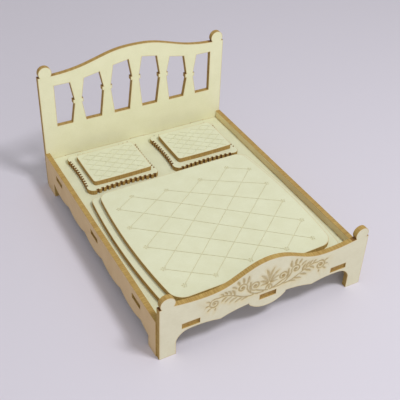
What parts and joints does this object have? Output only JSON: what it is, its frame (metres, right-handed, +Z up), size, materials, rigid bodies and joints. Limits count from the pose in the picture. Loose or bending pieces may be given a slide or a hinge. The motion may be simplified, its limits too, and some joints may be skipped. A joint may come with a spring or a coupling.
{
  "type": "dollhouse double bed",
  "caption": "Miniature slotted-board double bed with a pierced headboard, low footboard, scalloped rails, layered quilt and toothed pillows.",
  "frame": {"origin": "on the floor under the middle of the bed", "axes": "+Y towards the headboard, +X to the right seen from the foot of the bed, +Z up"},
  "size_m": [0.126, 0.165, 0.0867],
  "materials": {
    "board": "matte pale ply board with brown laser-cut edges"
  },
  "bodies": {
    "root": {"headboard": "board", "footboard": "board", "left_side_rail": "board", "right_side_rail": "board", "bed_base": "board", "quilt_lower": "board", "quilt_upper": "board", "left_pillow_lower": "board", "left_pillow_upper": "board", "right_pillow_lower": "board", "right_pillow_upper": "board"}
  },
  "joints": []
}
